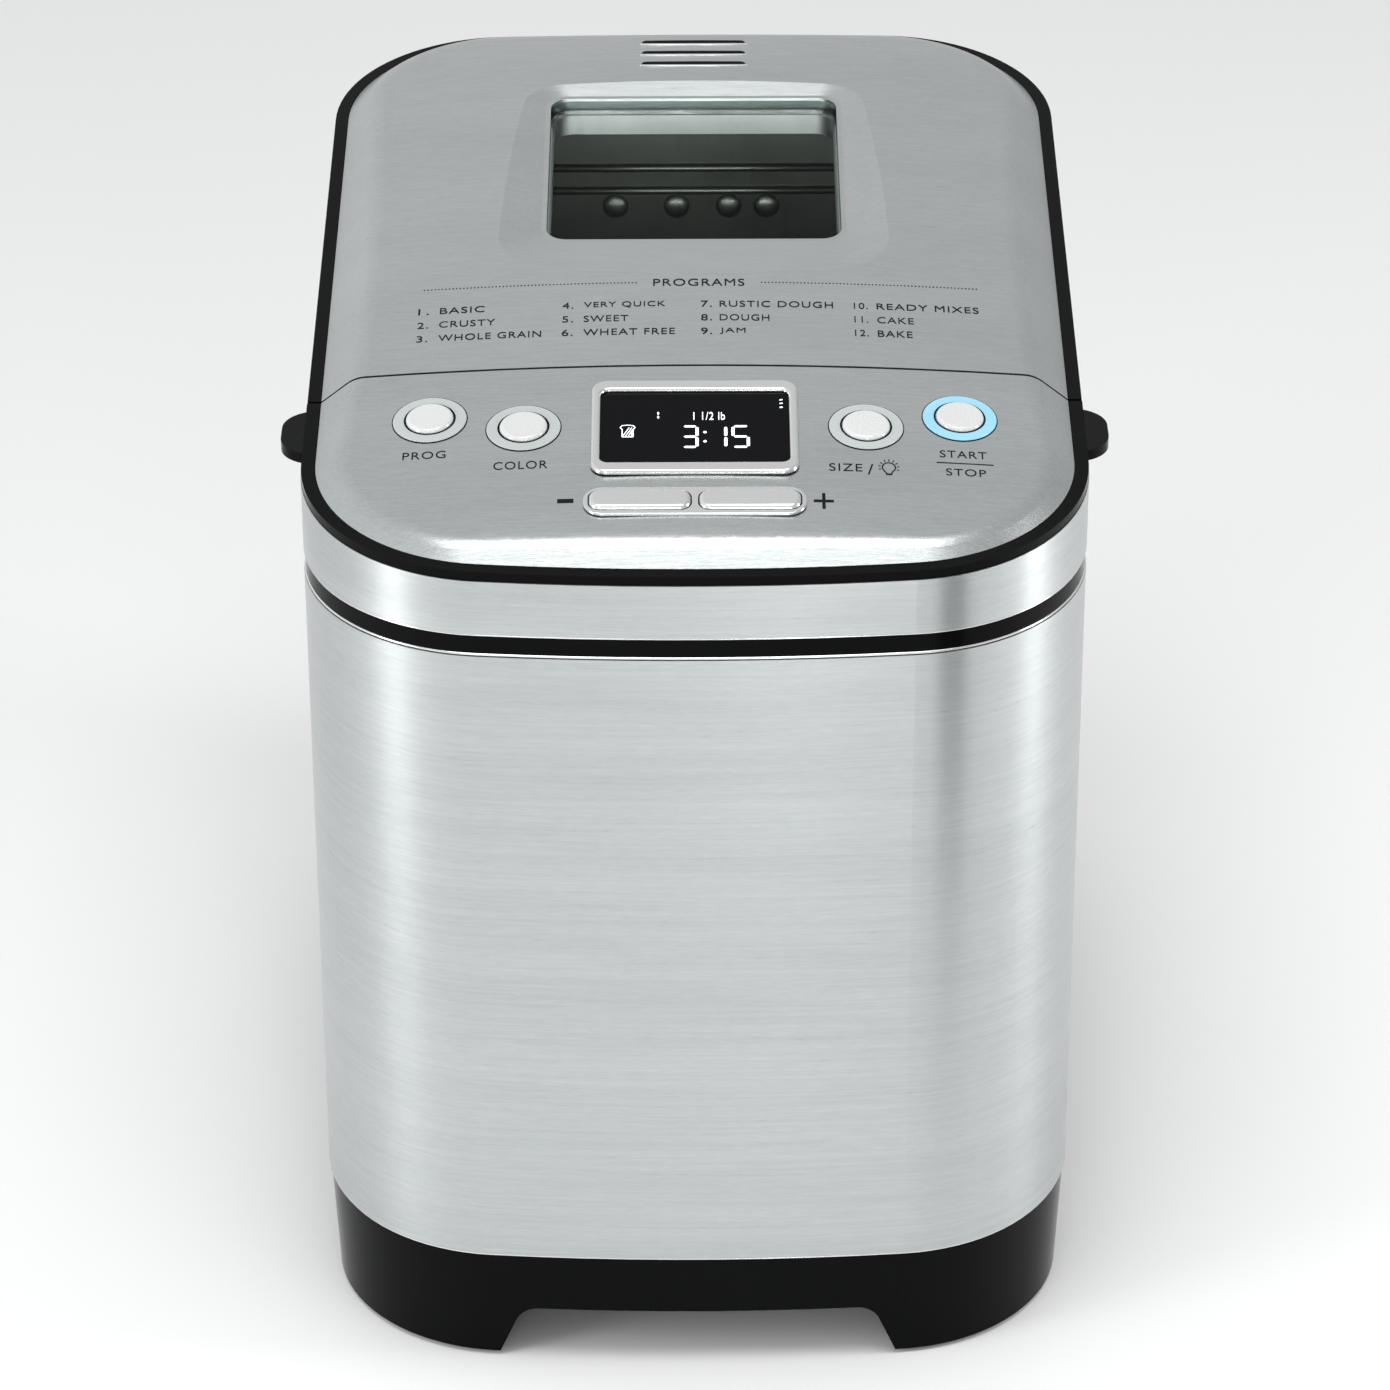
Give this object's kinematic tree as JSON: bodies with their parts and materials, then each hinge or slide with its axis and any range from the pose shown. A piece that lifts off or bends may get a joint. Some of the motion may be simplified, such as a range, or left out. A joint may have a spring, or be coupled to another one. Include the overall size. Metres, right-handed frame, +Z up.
{
  "type": "bread machine",
  "caption": "Compact upright bread machine with a hinged, windowed lid, a sloping control panel, and a lift-out pan driven from below.",
  "frame": {"origin": "middle of the footprint's bounding box, on the surface the feet stand on", "axes": "+X to the right seen from the front, +Y from the control panel to the hinge, +Z up"},
  "size_m": [0.265, 0.34, 0.3259],
  "materials": {
    "brushed_steel": "horizontally brushed stainless steel",
    "black_plastic": "semi-gloss black moulding",
    "matte_black": "fine-textured black moulding",
    "foot_rubber": "matte rubber",
    "white_cap": "glossy white",
    "pale_ring": "pale satin grey",
    "lit_ring": "translucent, lit pale blue",
    "bright_trim": "polished bright trim",
    "display_glass": "dark glossy window",
    "circuit_board": "green board",
    "liner_steel": "bright folded sheet",
    "plated_steel": "zinc plated",
    "machined_steel": "turned steel",
    "bronze": "sintered bronze",
    "element_steel": "heat-darkened sheath",
    "ceramic_white": "unglazed white ceramic",
    "lamp_glass": "clear heat-proof glass",
    "window_pane": "clear heat-proof glass",
    "nonstick": "dark non-stick coating",
    "belt_rubber": "ribbed rubber",
    "seal_silicone": "red-brown silicone"
  },
  "bodies": {
    "casing": {"base_tray": "black_plastic", "foot_pads": "foot_rubber", "base_screws": "plated_steel", "body_wrap": "brushed_steel", "rear_cover": "matte_black", "cord_gland": "matte_black", "lower_trim": "black_plastic", "upper_band": "brushed_steel", "side_handles": "black_plastic", "control_housing": "black_plastic", "control_plate": "brushed_steel", "display_frame": "bright_trim", "display_lens": "display_glass", "lcd_module": "display_glass", "control_board": "circuit_board", "control_switches": "circuit_board", "button_rings": "pale_ring", "start_ring": "lit_ring", "rocker_frame": "bright_trim", "oven_liner": "liner_steel", "oven_rim": "black_plastic", "heating_element": "element_steel", "heater_terminals": "ceramic_white", "temperature_sensor": "machined_steel", "oven_lamp": "matte_black", "lamp_cover": "lamp_glass", "pan_socket": "plated_steel", "chassis_plate": "plated_steel", "bearing_block": "machined_steel", "bearing_bushes": "bronze", "drive_belt": "belt_rubber", "motor": "machined_steel", "heat_shield": "liner_steel", "power_board": "circuit_board", "hinge_brackets": "plated_steel", "hinge_pins": "machined_steel"},
    "lid": {"lid_plate": "brushed_steel", "lid_frame": "black_plastic", "lid_liner": "liner_steel", "lid_screws": "plated_steel", "lid_seal": "seal_silicone", "window_glass": "window_pane", "window_frame": "liner_steel"},
    "pan": {"bread_pan": "nonstick", "pan_base": "matte_black"},
    "bail": {"pan_handle": "machined_steel", "handle_grip": "matte_black"},
    "paddle": {"pan_shaft": "machined_steel", "kneading_paddle": "nonstick"},
    "drive": {"drive_shaft": "machined_steel", "drive_pulley": "matte_black", "drive_coupling": "machined_steel"},
    "motor_rotor": {"motor_shaft": "machined_steel", "motor_pulley": "matte_black"},
    "button_program": {"button_program": "white_cap"},
    "button_crust": {"button_crust": "white_cap"},
    "button_size": {"button_size": "white_cap"},
    "button_start": {"button_start": "white_cap"},
    "button_minus": {"button_minus": "bright_trim"},
    "button_plus": {"button_plus": "bright_trim"}
  },
  "joints": [
    {"name": "lid_hinge", "type": "hinge", "parent": "casing", "child": "lid", "pos_m": [0, 0.1645, 0.3092], "axis": [-1, 0, 0], "range_deg": [0, 85]},
    {"name": "pan_lift", "type": "slide", "parent": "casing", "child": "pan", "axis": [0, 0, 1], "range_m": [0, 0.05]},
    {"name": "pan_handle_swing", "type": "hinge", "parent": "pan", "child": "bail", "pos_m": [0, 0.048, 0.215], "axis": [1, 0, 0], "range_deg": [0, 180]},
    {"name": "paddle_spin", "type": "hinge", "parent": "pan", "child": "paddle", "pos_m": [0, 0.048, 0.093], "axis": [0, 0, 1], "continuous": true},
    {"name": "drive_spin", "type": "hinge", "parent": "casing", "child": "drive", "pos_m": [0, 0.048, 0.038], "axis": [0, 0, 1], "continuous": true},
    {"name": "motor_spin", "type": "hinge", "parent": "casing", "child": "motor_rotor", "pos_m": [0, -0.112, 0.038], "axis": [0, 0, 1], "continuous": true},
    {"name": "press_program", "type": "slide", "parent": "casing", "child": "button_program", "axis": [0.0618, 0.1541, -0.9861], "range_m": [0, 0.001], "stiffness_N_per_m": 400},
    {"name": "press_crust", "type": "slide", "parent": "casing", "child": "button_crust", "axis": [0.0399, 0.1594, -0.9864], "range_m": [0, 0.001], "stiffness_N_per_m": 400},
    {"name": "press_size", "type": "slide", "parent": "casing", "child": "button_size", "axis": [-0.0399, 0.1594, -0.9864], "range_m": [0, 0.001], "stiffness_N_per_m": 400},
    {"name": "press_start", "type": "slide", "parent": "casing", "child": "button_start", "axis": [-0.0618, 0.1541, -0.9861], "range_m": [0, 0.001], "stiffness_N_per_m": 400},
    {"name": "press_minus", "type": "slide", "parent": "casing", "child": "button_minus", "axis": [0, 0.1904, -0.9817], "range_m": [0, 0.001], "stiffness_N_per_m": 400},
    {"name": "press_plus", "type": "slide", "parent": "casing", "child": "button_plus", "axis": [0, 0.1904, -0.9817], "range_m": [0, 0.001], "stiffness_N_per_m": 400}
  ],
  "couplings": [
    {"joint": "motor_spin", "follows": "drive_spin", "ratio": 4},
    {"joint": "paddle_spin", "follows": "drive_spin", "ratio": 1}
  ]
}
